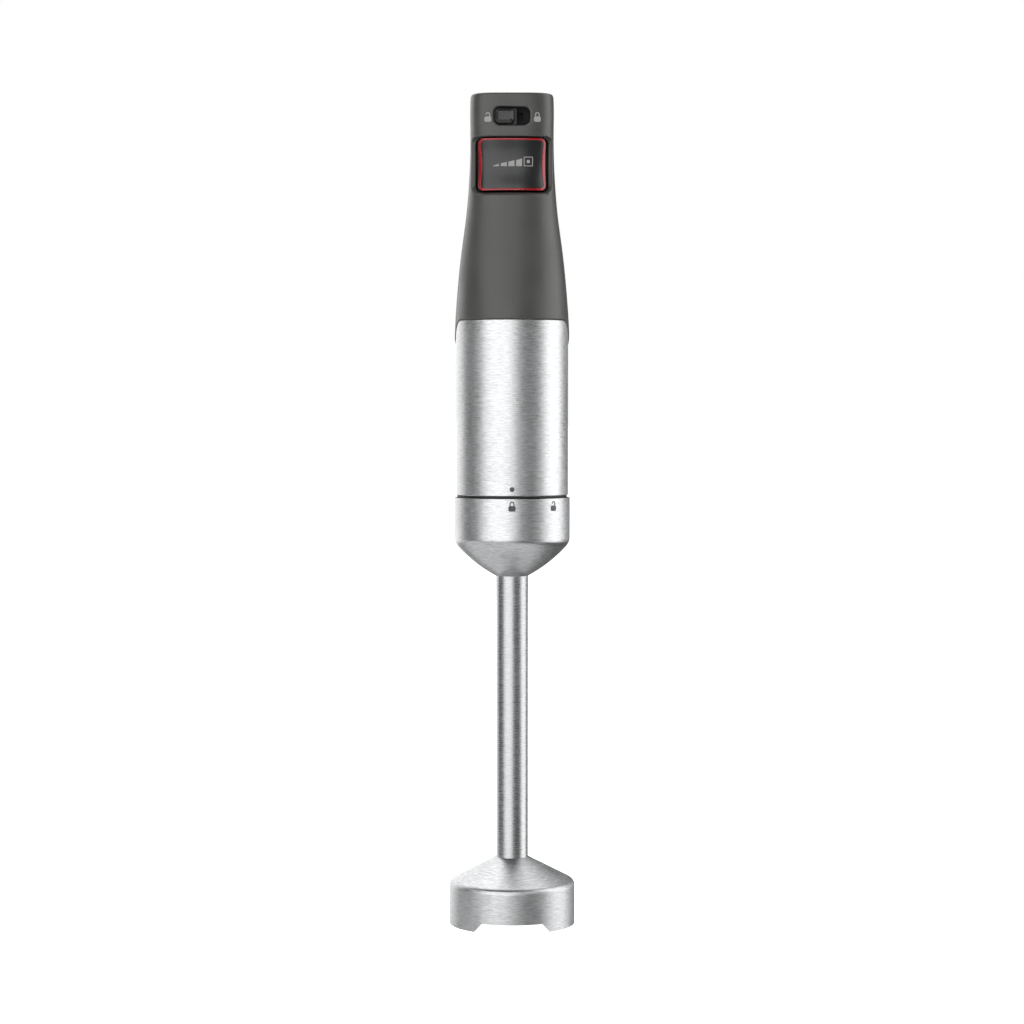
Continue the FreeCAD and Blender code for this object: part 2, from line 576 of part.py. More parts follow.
MOUNT_T = 3.0
mount_top = MOTOR_Z0
mount = ring(SLEEVE_R - SHEET, 8.6, mount_top - MOUNT_T, mount_top)
mount = mount.fuse(ring(SLEEVE_R - SHEET, SLEEVE_R - SHEET - 3, FLANGE_Z1, mount_top))
mount_post = rod(3.0, Vector(0, SOCKET_SCREW_R, FLANGE_Z1), Vector(0, SOCKET_SCREW_R, mount_top - 1))
for post in around(mount_post, [0, 120, 240]):
    mount = mount.fuse(post)
MOTOR_SCREW_X = 12.5
motor_screws = []
for s in (-1, 1):
    seat = Vector(s * MOTOR_SCREW_X, 0, mount_top - MOUNT_T)
    motor_screws.append(screw(2.75, 2.0, 1.5, MOUNT_T + 2.0, seat, Z))
    mount = mount.cut(rod(1.7, seat.sub(Z * 6), seat.add(Z * MOUNT_T)))
mount = mount.cut(Part.makeCompound(socket_screw_at))
save("motor_mount", mount.removeSplitter())
save("motor_screws", *motor_screws)
screw_seat = Vector(0, SOCKET_SCREW_R, FLANGE_Z0 - 1.2)
socket_screw = screw(2.4, 1.7, 1.25, MOTOR_Z0 - FLANGE_Z0 + 0.2, screw_seat, Z)
save("socket_screws", *around(socket_screw, [0, 120, 240]))

BEARING_R = 6.0
CAN_WALL = 1.2
can = turned([(BEARING_R, MOTOR_Z0 - 3.5), (8.5, MOTOR_Z0 - 3.5), (8.5, MOTOR_Z0), (CAN_R, MOTOR_Z0),
              (CAN_R, CAN_END), (CAN_R - CAN_WALL, CAN_END), (CAN_R - CAN_WALL, MOTOR_Z0 + 2),
              (BEARING_R, MOTOR_Z0 + 2)], [0, 0, 0, 1.5, 0, 0, 0, 0])
for s in (-1, 1):
    x = s * MOTOR_SCREW_X
    can = can.cut(rod(1.5, Vector(x, 0, MOTOR_Z0 - 1), Vector(x, 0, MOTOR_Z0 + 4)))
save("motor_can", can)
end_bell = turned([(BEARING_R, CAN_END + 1.0), (CAN_R - 4, CAN_END + 1.0), (CAN_R - 4, CAN_END),
                   (CAN_R, CAN_END), (CAN_R, MOTOR_END - 1.5), (10, MOTOR_END), (3.5, MOTOR_END),
                   (3.5, MOTOR_END - 1.0), (BEARING_R, MOTOR_END - 1.0)])
for s in (-1, 1):
    end_bell = end_bell.fuse(box(-2.4, 2.4, s * 12 - 0.4, s * 12 + 0.4, MOTOR_END - 2, MOTOR_END + 3.5))
save("motor_end_bell", end_bell)
save("motor_bearings", ring(BEARING_R, SHAFT_R + RUN, MOTOR_Z0 - 3.5, MOTOR_Z0 + 2),
     ring(BEARING_R, SHAFT_R + RUN, MOTOR_END - 5.0, MOTOR_END - 1.0))
span = CAN_END - MOTOR_Z0
core_z0, core_z1 = MOTOR_Z0 + span * 0.22, MOTOR_Z0 + span * 0.72
MAGNET_IN = CAN_R - CAN_WALL - 2.2
magnets = []
for angle in (0, 180):
    piece = ring(CAN_R - CAN_WALL, MAGNET_IN, core_z0 - 3, core_z1 + 3)
    magnets.append(piece.common(wedge(CAN_R, 68, core_z0 - 4, core_z1 + 4, angle)))
save("motor_magnets", *magnets)
CORE_R = MAGNET_IN - 0.6
core = ring(CORE_R, SHAFT_R, core_z0, core_z1)
POLES = range(0, 360, 72)
pole_x = CORE_R * 0.68
for hole in around(rod(3.6, Vector(pole_x, 0, core_z0 - 1), Vector(pole_x, 0, core_z1 + 1)), POLES):
    core = core.cut(hole)
for slit in around(box(pole_x, CORE_R + 1, -0.8, 0.8, core_z0 - 1, core_z1 + 1), POLES):
    core = core.cut(slit)
save("rotor_core", core)
coil_end = turned([(SHAFT_R + 1.5, core_z0 - 5), (CORE_R - 2, core_z0 - 5), (CORE_R - 2, core_z0),
                   (SHAFT_R + 1.5, core_z0)], [1, 2, 0, 0])
coil_back = turned([(SHAFT_R + 1.5, core_z1), (CORE_R - 2, core_z1), (CORE_R - 2, core_z1 + 4.5),
                    (SHAFT_R + 1.5, core_z1 + 4.5)], [0, 0, 2, 1])
save("rotor_windings", coil_end, coil_back)
comm_z0 = core_z1 + 5.0
commutator = ring(6.5, SHAFT_R, comm_z0, CAN_END - 1.2)
for slit in around(box(6.0, 7, -0.25, 0.25, comm_z0 - 1, CAN_END), POLES):
    commutator = commutator.cut(slit)
save("commutator", commutator)
brush_z = (comm_z0 + CAN_END - 1.2) / 2
brush = box(6.5 + GAP, CAN_R - CAN_WALL - 0.5, -1.6, 1.6, brush_z - 2.2, brush_z + 2.2)
save("motor_brushes", *around(brush, [0, 180]))

DOG_Z0 = SEAM_Z - 10.5
DOG_TOP = SEAM_Z + 3.0
SOCKET_FLOOR = DOG_Z0 + 7.5
save("motor_shaft", disc(SHAFT_R, SOCKET_FLOOR + 0.5, MOTOR_END - 0.6))
dog = turned([(0, DOG_Z0), (7.0, DOG_Z0), (7.0, DOG_TOP - 3), (5.0, DOG_TOP), (0, DOG_TOP)],
             [0, 0.8, 0.8, 0.8, 0])
dog = dog.cut(hexagon(DOG_AF + 2 * GAP, DOG_Z0 - 1, SOCKET_FLOOR))
dog = dog.cut(disc(SHAFT_R, DOG_Z0, DOG_TOP + 1))
save("drive_dog", dog)

# ---- wand ----------------------------------------------------------------------------------
COLLAR_TOP = GASKET_Z0 - GAP
CONE_MID = Vector(TUBE_R + 10.2, 0, COLLAR_Z + 7.9)
side_r = SLEEVE_R - 0.1
cone_low = Vector(TUBE_R - 0.4, 0, COLLAR_Z + 0.9)
cone_high = Vector(side_r - 1.2, 0, COLLAR_Z + 16.0)
shoulder = Vector(side_r, 0, COLLAR_Z + 19.6)
outside = Part.Wire([Part.Arc(cone_low, CONE_MID, cone_high).toShape(),
                     Part.Arc(cone_high, Vector(side_r - 0.32, 0, COLLAR_Z + 17.6), shoulder).toShape(),
                     Part.makeLine(shoulder, Vector(side_r, 0, COLLAR_TOP))])
collar = pressed(outside, SHEET)
collar = collar.cut(disc(TUBE_R, 0, COLLAR_TOP))
save("wand_collar", collar)

SEAT_Z0 = COLLAR_Z + 20.0
SEAT_Z1 = COLLAR_Z + 24.0
insert_r = side_r - SHEET
insert = turned([(TUBE_R, COLLAR_Z + 6), (TUBE_R + 3.0, COLLAR_Z + 6), (TUBE_R + 7.0, SEAT_Z0),
                 (insert_r, SEAT_Z0), (insert_r, SEAT_Z1), (TUBE_R, SEAT_Z1)], [0, 0, 2.5, 0.8, 0, 0])
save("collar_insert", insert)
lug_ring = ring(insert_r, SOCKET_R + 0.4, SEAT_Z1, COLLAR_TOP - 0.6)
for angle in lug_angles:
    lug = wedge(SOCKET_R + 1.5, LUG_HALF, LUG_Z0, LUG_Z0 + LUG_H, angle)
    lug_ring = lug_ring.fuse(lug.cut(disc(SLOT_R + 0.5, LUG_Z0 - 1, LUG_Z0 + LUG_H + 1)))
save("bayonet_lug_ring", lug_ring.removeSplitter())

TUBE_Z0 = GUARD_H - 8.0
TUBE_Z1 = SEAT_Z1 - 1.0
BORE_R = TUBE_R - SHEET
save("wand_tube", ring(TUBE_R, BORE_R, TUBE_Z0, TUBE_Z1))
save("upper_bushing", ring(BORE_R, SHAFT_R + RUN, TUBE_Z1 - 12, TUBE_Z1))

SHOULDER_Z = GUARD_H - 13.6
neck_z = GUARD_H - 0.9
guard_line = [Vector(TUBE_R - 0.8, 0, neck_z), Vector(GUARD_R, 0, SHOULDER_Z), Vector(GUARD_R, 0, 0)]
guard = pressed(path(guard_line, [0, 3.2, 0]), SHEET * 1.2)
guard = guard.cut(disc(TUBE_R, 0, GUARD_H + 5))
NOTCH_H = 4.5
notch = Part.Face(path([Vector(-GUARD_R * 0.7, -50, -4), Vector(GUARD_R * 0.7, -50, -4),
                        Vector(GUARD_R * 0.475, -50, NOTCH_H), Vector(-GUARD_R * 0.475, -50, NOTCH_H)],
                       [0, 0, 1.6, 1.6], closed=True)).extrude(Y * 100)
guard = guard.cut(notch)
save("blade_guard", guard)

SEAL_Z0 = GUARD_H - 18.4
HOUSING_Z0 = SEAL_Z0 - 0.6
BUSH_Z0 = SEAL_Z0 + 3.4
housing = turned([(6.0, HOUSING_Z0), (9.4, HOUSING_Z0), (9.4, TUBE_Z0), (BORE_R, TUBE_Z0),
                  (BORE_R, TUBE_Z0 + 14), (5.0, TUBE_Z0 + 14), (5.0, BUSH_Z0), (6.0, BUSH_Z0)],
                 [0, 1.2, 0.6, 0, 0, 0, 0, 0])
save("bearing_housing", housing)
save("lower_bushing", ring(5.0, SHAFT_R + RUN, BUSH_Z0, TUBE_Z0 + 13))
seal = turned([(SHAFT_R + 0.05, SEAL_Z0 + 0.9), (4.6, SEAL_Z0), (6.0, SEAL_Z0), (6.0, BUSH_Z0),
               (4.4, BUSH_Z0), (SHAFT_R + 0.05, SEAL_Z0 + 2.0)])
save("shaft_seal", seal)

# ---- blade and its drive -------------------------------------------------------------------
BLADE_Z0 = GUARD_H - 24.0
BLADE_T = 1.4
BLADE_R = GUARD_R - 9.0
TIP_R = SHAFT_R - 0.5
DOG_BASE_Z = SEAT_Z1 + 1.0
shaft = disc(SHAFT_R, BLADE_Z0 + BLADE_T, DOG_BASE_Z + 3.4)
shaft = shaft.fuse(disc(TIP_R, BLADE_Z0 - 3.0, BLADE_Z0 + BLADE_T))
save("blade_shaft", shaft)
driven = turned([(0, DOG_BASE_Z), (6.4, DOG_BASE_Z), (6.4, DOG_BASE_Z + 3), (4.8, DOG_BASE_Z + 4),
                 (0, DOG_BASE_Z + 4)])
driven = driven.fuse(hexagon(DOG_AF, DOG_BASE_Z + 3.5, SOCKET_FLOOR - 1.0))
driven = driven.cut(disc(SHAFT_R, DOG_BASE_Z - 1, DOG_BASE_Z + 3.4))
save("driven_dog", driven)
save("blade_spacer", ring(4.4, SHAFT_R, BLADE_Z0 + BLADE_T, HOUSING_Z0 - 0.5))

WING_HALF = 3.6
BEND_R = 9.5


def wing(rise):
    """One wing along +X: flat near the hub, then bent by a rise over its length, with a keen edge."""
    z0 = BLADE_Z0
    under = [Vector(0, -WING_HALF, z0), Vector(BEND_R, -WING_HALF, z0),
             Vector(BLADE_R, -WING_HALF, z0 + rise)]
    outer = under + [point.add(Z * BLADE_T) for point in reversed(under)]
    solid = Part.Face(path(outer, [0] * 6, closed=True)).extrude(Y * 2 * WING_HALF)
    plan = [Vector(-1, -WING_HALF, 0), Vector(BLADE_R - 7, -WING_HALF, 0),
            Vector(BLADE_R - 0.5, 0.6, 0), Vector(BLADE_R - 1.5, WING_HALF - 0.6, 0),
            Vector(BEND_R, WING_HALF, 0), Vector(-1, WING_HALF, 0)]
    solid = solid.common(Part.Face(path(plan, [0, 3, 1.2, 1.0, 2, 0], closed=True)).extrude(Z * 60))
    slope = math.degrees(math.atan2(rise, BLADE_R - BEND_R))
    grind = box(-2, 40, -4, 0, -6, 0)
    grind.rotate(Vector(), X, 24)
    grind.translate(Vector(0, -WING_HALF + 0.15, 0.25))
    grind = grind.common(box(1, 40, -20, 20, -20, 20))
    grind.rotate(Vector(), Y, -slope)
    grind.translate(Vector(BEND_R, 0, z0))
    return solid.cut(grind)


blade = ring(5.2, TIP_R, BLADE_Z0, BLADE_Z0 + BLADE_T)
for angle, rise in ((0, -2.6), (90, 4.2), (180, -2.6), (270, 4.2)):
    piece = wing(rise)
    piece.rotate(Vector(), Z, angle + 25)
    blade = blade.fuse(piece)
blade = blade.cut(disc(TIP_R, BLADE_Z0 - 5, BLADE_Z0 + 5))
save("blade", blade.removeSplitter())
nut = hexagon(7.0, BLADE_Z0 - 3.6, BLADE_Z0)
nut = nut.common(turned([(0, BLADE_Z0 - 3.6), (3.2, BLADE_Z0 - 3.6), (4.2, BLADE_Z0 - 2.4),
                         (4.2, BLADE_Z0), (0, BLADE_Z0)]))
nut = nut.cut(disc(TIP_R, BLADE_Z0 - 3.0, BLADE_Z0 + 1))
save("blade_nut", nut)
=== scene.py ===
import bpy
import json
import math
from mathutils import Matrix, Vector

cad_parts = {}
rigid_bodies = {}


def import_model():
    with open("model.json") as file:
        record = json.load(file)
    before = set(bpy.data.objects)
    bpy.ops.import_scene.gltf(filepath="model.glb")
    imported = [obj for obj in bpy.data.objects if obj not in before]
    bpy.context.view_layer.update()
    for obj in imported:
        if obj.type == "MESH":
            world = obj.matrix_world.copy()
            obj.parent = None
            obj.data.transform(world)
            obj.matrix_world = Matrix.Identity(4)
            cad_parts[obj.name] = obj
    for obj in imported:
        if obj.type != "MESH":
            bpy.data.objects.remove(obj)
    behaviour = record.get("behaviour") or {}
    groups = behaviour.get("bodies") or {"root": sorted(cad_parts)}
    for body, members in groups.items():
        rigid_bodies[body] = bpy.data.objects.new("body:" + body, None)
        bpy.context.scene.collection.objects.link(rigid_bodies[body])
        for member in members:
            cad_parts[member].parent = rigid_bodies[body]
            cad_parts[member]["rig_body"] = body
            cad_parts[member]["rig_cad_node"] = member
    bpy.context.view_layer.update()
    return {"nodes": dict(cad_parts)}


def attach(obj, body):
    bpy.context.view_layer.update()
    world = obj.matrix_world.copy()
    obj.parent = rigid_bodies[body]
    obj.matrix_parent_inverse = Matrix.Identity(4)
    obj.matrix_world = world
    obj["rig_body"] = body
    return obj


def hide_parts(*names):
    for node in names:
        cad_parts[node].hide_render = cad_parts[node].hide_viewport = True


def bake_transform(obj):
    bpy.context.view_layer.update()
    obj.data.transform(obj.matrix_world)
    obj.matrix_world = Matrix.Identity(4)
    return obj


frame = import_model()

# %% [markdown]
# # A cordless immersion blender
# The frame holds every real part of the blender at its real size, in metres, standing on the rim
# of its blade guard with the controls facing -Y. This scene gives those parts their finishes,
# adds what a frame doesn't carry, such as soft moulded edges and printed signs, and lights it all.
#
# The first cell holds the few tools that every later cell uses: a hex colour turned linear, one
# function that adds a shader node, one that starts a material, and one that puts a finish on a
# list of parts.

MM = 0.001
nodes = frame["nodes"]
bpy.ops.object.select_all(action="DESELECT")


def hex_linear(code):
    """Linear colour from an sRGB hex value."""
    channels = [int(code[i:i + 2], 16) / 255 for i in (1, 3, 5)]
    linear = [c / 12.92 if c <= 0.04045 else ((c + 0.055) / 1.055) ** 2.4 for c in channels]
    return (*linear, 1.0)


def add(tree, kind, settings=None, links=None):
    """Adds a node, sets its properties or inputs, and links inputs to other nodes' outputs."""
    node = tree.nodes.new(kind)
    for name, value in (settings or {}).items():
        if isinstance(name, str) and hasattr(node, name):
            setattr(node, name, value)
        else:
            node.inputs[name].default_value = value
    for name, source in (links or {}).items():
        tree.links.new(source, node.inputs[name])
    return node


def blank(name):
    """A new material with only a shader and an output; gives material, node tree and shader."""
    material = bpy.data.materials.new(name)
    material.use_nodes = True
    tree = material.node_tree
    tree.nodes.clear()
    shader = add(tree, "ShaderNodeBsdfPrincipled")
    add(tree, "ShaderNodeOutputMaterial", links={"Surface": shader.outputs[0]})
    return material, tree, shader


def coat(material, *names):
    """Gives CAD nodes their finish."""
    for name in names:
        mesh = nodes[name].data
        mesh.materials.clear()
        mesh.materials.append(material)
    print(material.name, "on", len(names), "nodes")


# %% [markdown]
# ## Moulded plastics
# The handle is injection-moulded ABS from a spark-eroded tool, which leaves a fine matt grain.
# The real grain is about 0.15 mm across; it is drawn at 0.45 mm so that it still shows from a
# metre away. A slow cloud of two close shades keeps large faces from looking flat.
#
# Hands polish a moulding along its edges first. The Bevel node looks a little to each side of a
# point, so where its normal leaves the surface's own, there is an edge; there the colour lifts
# towards a paler, rubbed shade. One function makes every plastic, because they differ only in
# colour, gloss, grain and how much they are handled.

# %% How a moulded plastic is made
CLOUD_MM = 22             # size of the slow patches of shade
NOISE_LOW, NOISE_HIGH = 0.3, 0.7      # a noise seldom leaves this range, so it is stretched
RUB_MM = 0.5              # how far hands polish in from an edge
EDGE_STARTS, EDGE_FULL = 0.99, 0.9    # cosines of 8 and 26 degrees between the two normals
RUB_SHARE = 0.7           # how much of the rubbed shade the sharpest edge takes
ABS_IOR = 1.53


def moulded(name, dark, light, rough, grain_mm, depth, rubbed=None):
    """Plastic: two close shades, a roughness, the grain's size and depth in mm, a rubbed shade."""
    material, tree, shader = blank(name)
    place = add(tree, "ShaderNodeTexCoord").outputs["Object"]
    cloud = add(tree, "ShaderNodeTexNoise", {"Scale": 1 / (CLOUD_MM * MM), "Detail": 3.0},
                {"Vector": place})
    share = add(tree, "ShaderNodeMapRange", {"From Min": NOISE_LOW, "From Max": NOISE_HIGH},
                {"Value": cloud.outputs["Fac"]})
    shade = add(tree, "ShaderNodeMix",
                {"data_type": "RGBA", 6: hex_linear(dark), 7: hex_linear(light)},
                {0: share.outputs[0]})
    colour = shade.outputs[2]
    spread = add(tree, "ShaderNodeMapRange", {"To Min": rough - 0.05, "To Max": rough + 0.06},
                 {"Value": share.outputs[0]})
    if rubbed:
        edge = add(tree, "ShaderNodeBevel", {"samples": 4, "Radius": RUB_MM * MM})
        own_normal = add(tree, "ShaderNodeNewGeometry").outputs["Normal"]
        likeness = add(tree, "ShaderNodeVectorMath", {"operation": "DOT_PRODUCT"},
                       {0: edge.outputs[0], 1: own_normal})
        touch = add(tree, "ShaderNodeMapRange",
                    {"From Min": EDGE_STARTS, "From Max": EDGE_FULL, "To Max": RUB_SHARE},
                    {"Value": likeness.outputs["Value"]})
        worn = add(tree, "ShaderNodeMix", {"data_type": "RGBA", 7: hex_linear(rubbed)},
                   {0: touch.outputs[0], 6: colour})
        colour = worn.outputs[2]
    grain = add(tree, "ShaderNodeTexNoise",
                {"Scale": 1 / (grain_mm * MM), "Detail": 2.0, "Roughness": 0.6},
                {"Vector": place})
    bump = add(tree, "ShaderNodeBump", {"Distance": depth * MM}, {"Height": grain.outputs["Fac"]})
    tree.links.new(colour, shader.inputs["Base Color"])
    tree.links.new(spread.outputs[0], shader.inputs["Roughness"])
    tree.links.new(bump.outputs[0], shader.inputs["Normal"])
    shader.inputs["IOR"].default_value = ABS_IOR
    return material


print("plastics: grain over a cloud of", CLOUD_MM, "mm")

# %% [markdown]
# ## Plastics of the handle
# Three blacks tell the parts apart. The handle is a warm charcoal, dull from its grain. The key
# and the knob are darker and satin, since fingers have to find them. The guide deep in the lock's
# slot is black nylon, coloured nearly black as painted shade and fully matt, so the slot reads as a
# hole.

# %% Handle, cap, key and lock
# the eye gets: a soft charcoal with a powdery highlight
handle_abs = moulded("ABS handle, spark-eroded grain", "#3a3a38", "#3f3f3c", 0.42, 0.45, 0.02,
                     "#494946")
# the eye gets: the same charcoal a touch duller, so the inset cap is seen as its own piece
cap_abs = moulded("ABS cap, fine grain", "#383836", "#3d3d3b", 0.5, 0.45, 0.02, "#484845")
# the eye gets: a smooth black hollow with a wide, soft sheen
key_abs = moulded("ABS key, satin", "#141516", "#1a1b1b", 0.27, 0.6, 0.006, "#2c2d2e")
# the eye gets: a faceted black knob, each facet a different grey
knob_abs = moulded("ABS knob, satin black", "#101011", "#151516", 0.28, 0.5, 0.006, "#2e2e2f")
# the eye gets: a matt step beside the knob
slide_nylon = moulded("Nylon slide, matt black", "#1c1c1c", "#232323", 0.45, 0.8, 0.01, "#2e2e2e")
# the eye gets: a dark hole behind the knob, its near-black colour a painted shade
guide_nylon_painted_shade = moulded("Nylon guide, black with painted shade", "#030303", "#060606", 0.85, 0.8, 0.02)
coat(handle_abs, "handle_front_shell", "handle_back_shell")
coat(cap_abs, "top_cap")
coat(key_abs, "trigger_key")
coat(knob_abs, "lock_knob")
coat(slide_nylon, "lock_carriage")
coat(guide_nylon_painted_shade, "lock_guide")

# %% [markdown]
# ## Working plastics and rubbers
# Parts that carry load or slide are nylon, which wears slowly and is left dull from the mould.
# The bearing housing and the wand's drive dog are acetal, which slides well and doesn't swell
# when wet. The flap is silicone, soft enough to seal the charging socket, and the gaskets are
# black rubber.

# %% Working plastics and rubbers
# the eye gets: an even, dull black, as on gears and holders
black_nylon = moulded("Nylon, black", "#141414", "#1b1b1b", 0.5, 0.8, 0.02)
# the eye gets: a clean, waxy off-white
white_acetal = moulded("Acetal, natural", "#cfcec8", "#dad9d4", 0.35, 1.2, 0.01)
# the eye gets: a flap a little darker and softer than the handle round it
flap_rubber = moulded("Silicone rubber flap", "#333332", "#3a3a39", 0.62, 0.5, 0.02, "#444443")
# the eye gets: one thin black line between the sleeve and the collar
gasket_rubber = moulded("Rubber gasket", "#0b0b0b", "#121212", 0.6, 0.6, 0.01)
coat(black_nylon, "trigger_plunger", "trigger_sensor", "lock_switch", "battery_holder",
     "bayonet_socket", "motor_mount", "motor_end_bell", "drive_dog", "collar_insert",
     "bayonet_lug_ring")
coat(white_acetal, "bearing_housing", "driven_dog")
coat(flap_rubber, "port_flap")
coat(gasket_rubber, "seam_gasket", "shaft_seal")

# %% [markdown]
# ## Red light ring
# The ring round the key is clear red polycarbonate over a light. No lamp lights it here, so a weak
# glow is painted under a glossy face: it gives the ring its depth and keeps it red in the shade.
# Its colour thins and thickens a little at random along its length.

# %% Red light ring
RING_CLOUD_MM = 6         # length of one thicker or thinner stretch
RIPPLE_MM = 0.01          # how uneven the moulded face is
PC_IOR = 1.58
PAINTED_RING_GLOW = 0.03

# the eye gets: a glossy deep red line that stays red in the shade through a painted glow
ring_pc, tree, shader = blank("Polycarbonate, red light ring, painted glow")
place = add(tree, "ShaderNodeTexCoord").outputs["Object"]
cloud = add(tree, "ShaderNodeTexNoise", {"Scale": 1 / (RING_CLOUD_MM * MM)}, {"Vector": place})
share = add(tree, "ShaderNodeMapRange", {"From Min": NOISE_LOW, "From Max": NOISE_HIGH},
            {"Value": cloud.outputs["Fac"]})
shade = add(tree, "ShaderNodeMix",
            {"data_type": "RGBA", 6: hex_linear("#7f0a14"), 7: hex_linear("#8c0f1b")},
            {0: share.outputs[0]})
gloss = add(tree, "ShaderNodeMapRange", {"To Min": 0.18, "To Max": 0.28},
            {"Value": share.outputs[0]})
ripple = add(tree, "ShaderNodeBump", {"Distance": RIPPLE_MM * MM}, {"Height": cloud.outputs["Fac"]})
tree.links.new(shade.outputs[2], shader.inputs["Base Color"])
tree.links.new(gloss.outputs[0], shader.inputs["Roughness"])
tree.links.new(ripple.outputs[0], shader.inputs["Normal"])
shader.inputs["IOR"].default_value = PC_IOR
# a painted glow: the ring shines a little by itself, though it is no lamp
shader.inputs["Emission Color"].default_value = hex_linear("#a80f1c")
shader.inputs["Emission Strength"].default_value = PAINTED_RING_GLOW
coat(ring_pc, "trigger_light_ring")

# %% [markdown]
# ## Brushed metals
# The sleeve, collar and guard are pressed or spun from stainless sheet and brushed while they
# turn, so the scratches run round the axis. That spreads a highlight up and down and leaves
# upright bands of light. Noise squeezed along Z draws the scratches as short dashes; a true
# scratch is 0.05 mm wide and can't be seen from a metre away, so they are drawn 0.2 mm apart and
# more.
#
# A second, slow cloud stands for handling: it makes some patches duller, the way steel looks
# after it has been wiped. A metal keeps the shader's own IOR, since its colour says it all.

# %% How a brushed metal is made
DASH_MM = 4.0             # length of one brush mark
SMEAR_MM = 35.0           # size of the wiped patches
HAIR_LOW, HAIR_HIGH = 0.36, 0.64      # stretches the noise, so the marks are crisp


def brushed(name, dark, light, rough, pitch_mm, depth, turn=0.75):
    """Metal brushed round the Z axis: marks pitch_mm apart, turn is how far highlights spread."""
    material, tree, shader = blank(name)
    place = add(tree, "ShaderNodeTexCoord").outputs["Object"]
    dash = 1 / (DASH_MM * MM)
    squeeze = add(tree, "ShaderNodeMapping", {"Scale": (dash, dash, 1 / (pitch_mm * MM))},
                  {"Vector": place})
    hair = add(tree, "ShaderNodeTexNoise", {"Scale": 1.0, "Detail": 5.0, "Roughness": 0.75},
               {"Vector": squeeze.outputs[0]})
    cloud = add(tree, "ShaderNodeTexNoise", {"Scale": 1 / (SMEAR_MM * MM), "Detail": 2.0},
                {"Vector": place})
    marks = add(tree, "ShaderNodeMapRange", {"From Min": HAIR_LOW, "From Max": HAIR_HIGH},
                {"Value": hair.outputs["Fac"]})
    shade = add(tree, "ShaderNodeMix",
                {"data_type": "RGBA", 6: hex_linear(dark), 7: hex_linear(light)},
                {0: marks.outputs[0]})
    both = add(tree, "ShaderNodeMath", {"operation": "ADD"},
               {0: marks.outputs[0], 1: cloud.outputs["Fac"]})
    spread = add(tree, "ShaderNodeMapRange",
                 {"From Max": 2.0, "To Min": rough - 0.07, "To Max": rough + 0.09},
                 {"Value": both.outputs[0]})
    around = add(tree, "ShaderNodeTangent", {"direction_type": "RADIAL", "axis": "Z"})
    bump = add(tree, "ShaderNodeBump", {"Distance": depth * MM}, {"Height": hair.outputs["Fac"]})
    tree.links.new(shade.outputs[2], shader.inputs["Base Color"])
    tree.links.new(spread.outputs[0], shader.inputs["Roughness"])
    tree.links.new(around.outputs[0], shader.inputs["Tangent"])
    tree.links.new(bump.outputs[0], shader.inputs["Normal"])
    shader.inputs["Metallic"].default_value = 1.0
    shader.inputs["Anisotropic"].default_value = turn
    return material


print("metals: brush marks", DASH_MM, "mm long")

# %% [markdown]
# ## Steels of the blender
# The outer skins share one sheet, but the guard is duller from spinning and the tube finer from
# drawing. The blade is ground and the small turned parts are cut, so their highlights spread
# less.

# %% Steel parts
# the eye gets: broad upright bands of grey, broken up by fine level dashes
sleeve_steel = brushed("Stainless sleeve, brushed round", "#999a9b", "#d6d7d8", 0.3, 0.2, 0.004)
# the eye gets: the same bands, softer and a little darker
guard_steel = brushed("Stainless guard, spun and brushed", "#999a9b", "#d2d3d4", 0.34, 0.22, 0.004)
# the eye gets: one bright stripe down a thin tube, with hardly any grain
tube_steel = brushed("Stainless tube, fine brushed", "#969798", "#bcbdbe", 0.27, 0.22, 0.0015)
# the eye gets: a brighter, cleaner edge than the sheet round it
blade_steel = brushed("Stainless blade, ground", "#a9a9aa", "#cccccd", 0.22, 0.3, 0.003, 0.3)
# the eye gets: the plain shine of a machine part
plain_steel = brushed("Steel, turned", "#9c9c9c", "#bdbdbd", 0.25, 0.3, 0.002, 0.4)
coat(sleeve_steel, "motor_sleeve", "wand_collar")
coat(guard_steel, "blade_guard")
coat(tube_steel, "wand_tube")
coat(blade_steel, "blade")
coat(plain_steel, "blade_shaft", "blade_spacer", "blade_nut", "motor_shaft", "flap_pin",
     "trigger_clips", "trigger_springs", "charging_socket", "battery_contacts", "motor_screws",
     "socket_screws", "motor_can", "rotor_core")

# %% [markdown]
# ## Inner parts
# What sits inside is finished too, because the blender can be taken apart: a green board, two
# cells in blue film, a brushed motor with bronze bearings and enamelled copper windings.

# %% Finishes of the inner parts
# the eye gets: the glossy green of a lacquered board
board_green = moulded("Circuit board, green mask", "#0f4a2a", "#14582f", 0.35, 0.8, 0.01)
# the eye gets: shrunk film, smooth and strong in colour
cell_film = moulded("Cell sleeve, blue film", "#1d4f94", "#2459a0", 0.25, 2.0, 0.005)
# the eye gets: a dry dark grey, rough as stone
ferrite = moulded("Ferrite magnet", "#2a2a2b", "#333334", 0.6, 0.5, 0.03)
# the eye gets: a sooty block with a faint sheen
carbon = moulded("Carbon brush", "#1c1c1c", "#262626", 0.55, 0.5, 0.02)
# the eye gets: a dull brown metal, oily from its pores
bronze = brushed("Sintered bronze", "#8a5a33", "#a8733f", 0.45, 0.4, 0.004, 0.0)
# the eye gets: red-brown strands under a clear varnish
copper = brushed("Enamelled copper", "#9c4a26", "#c26a3a", 0.3, 0.6, 0.02, 0.0)
coat(board_green, "control_board", "charging_board")
coat(cell_film, "battery_cells")
coat(ferrite, "motor_magnets")
coat(carbon, "motor_brushes")
coat(bronze, "motor_bearings", "upper_bushing", "lower_bushing")
coat(copper, "rotor_windings", "commutator")

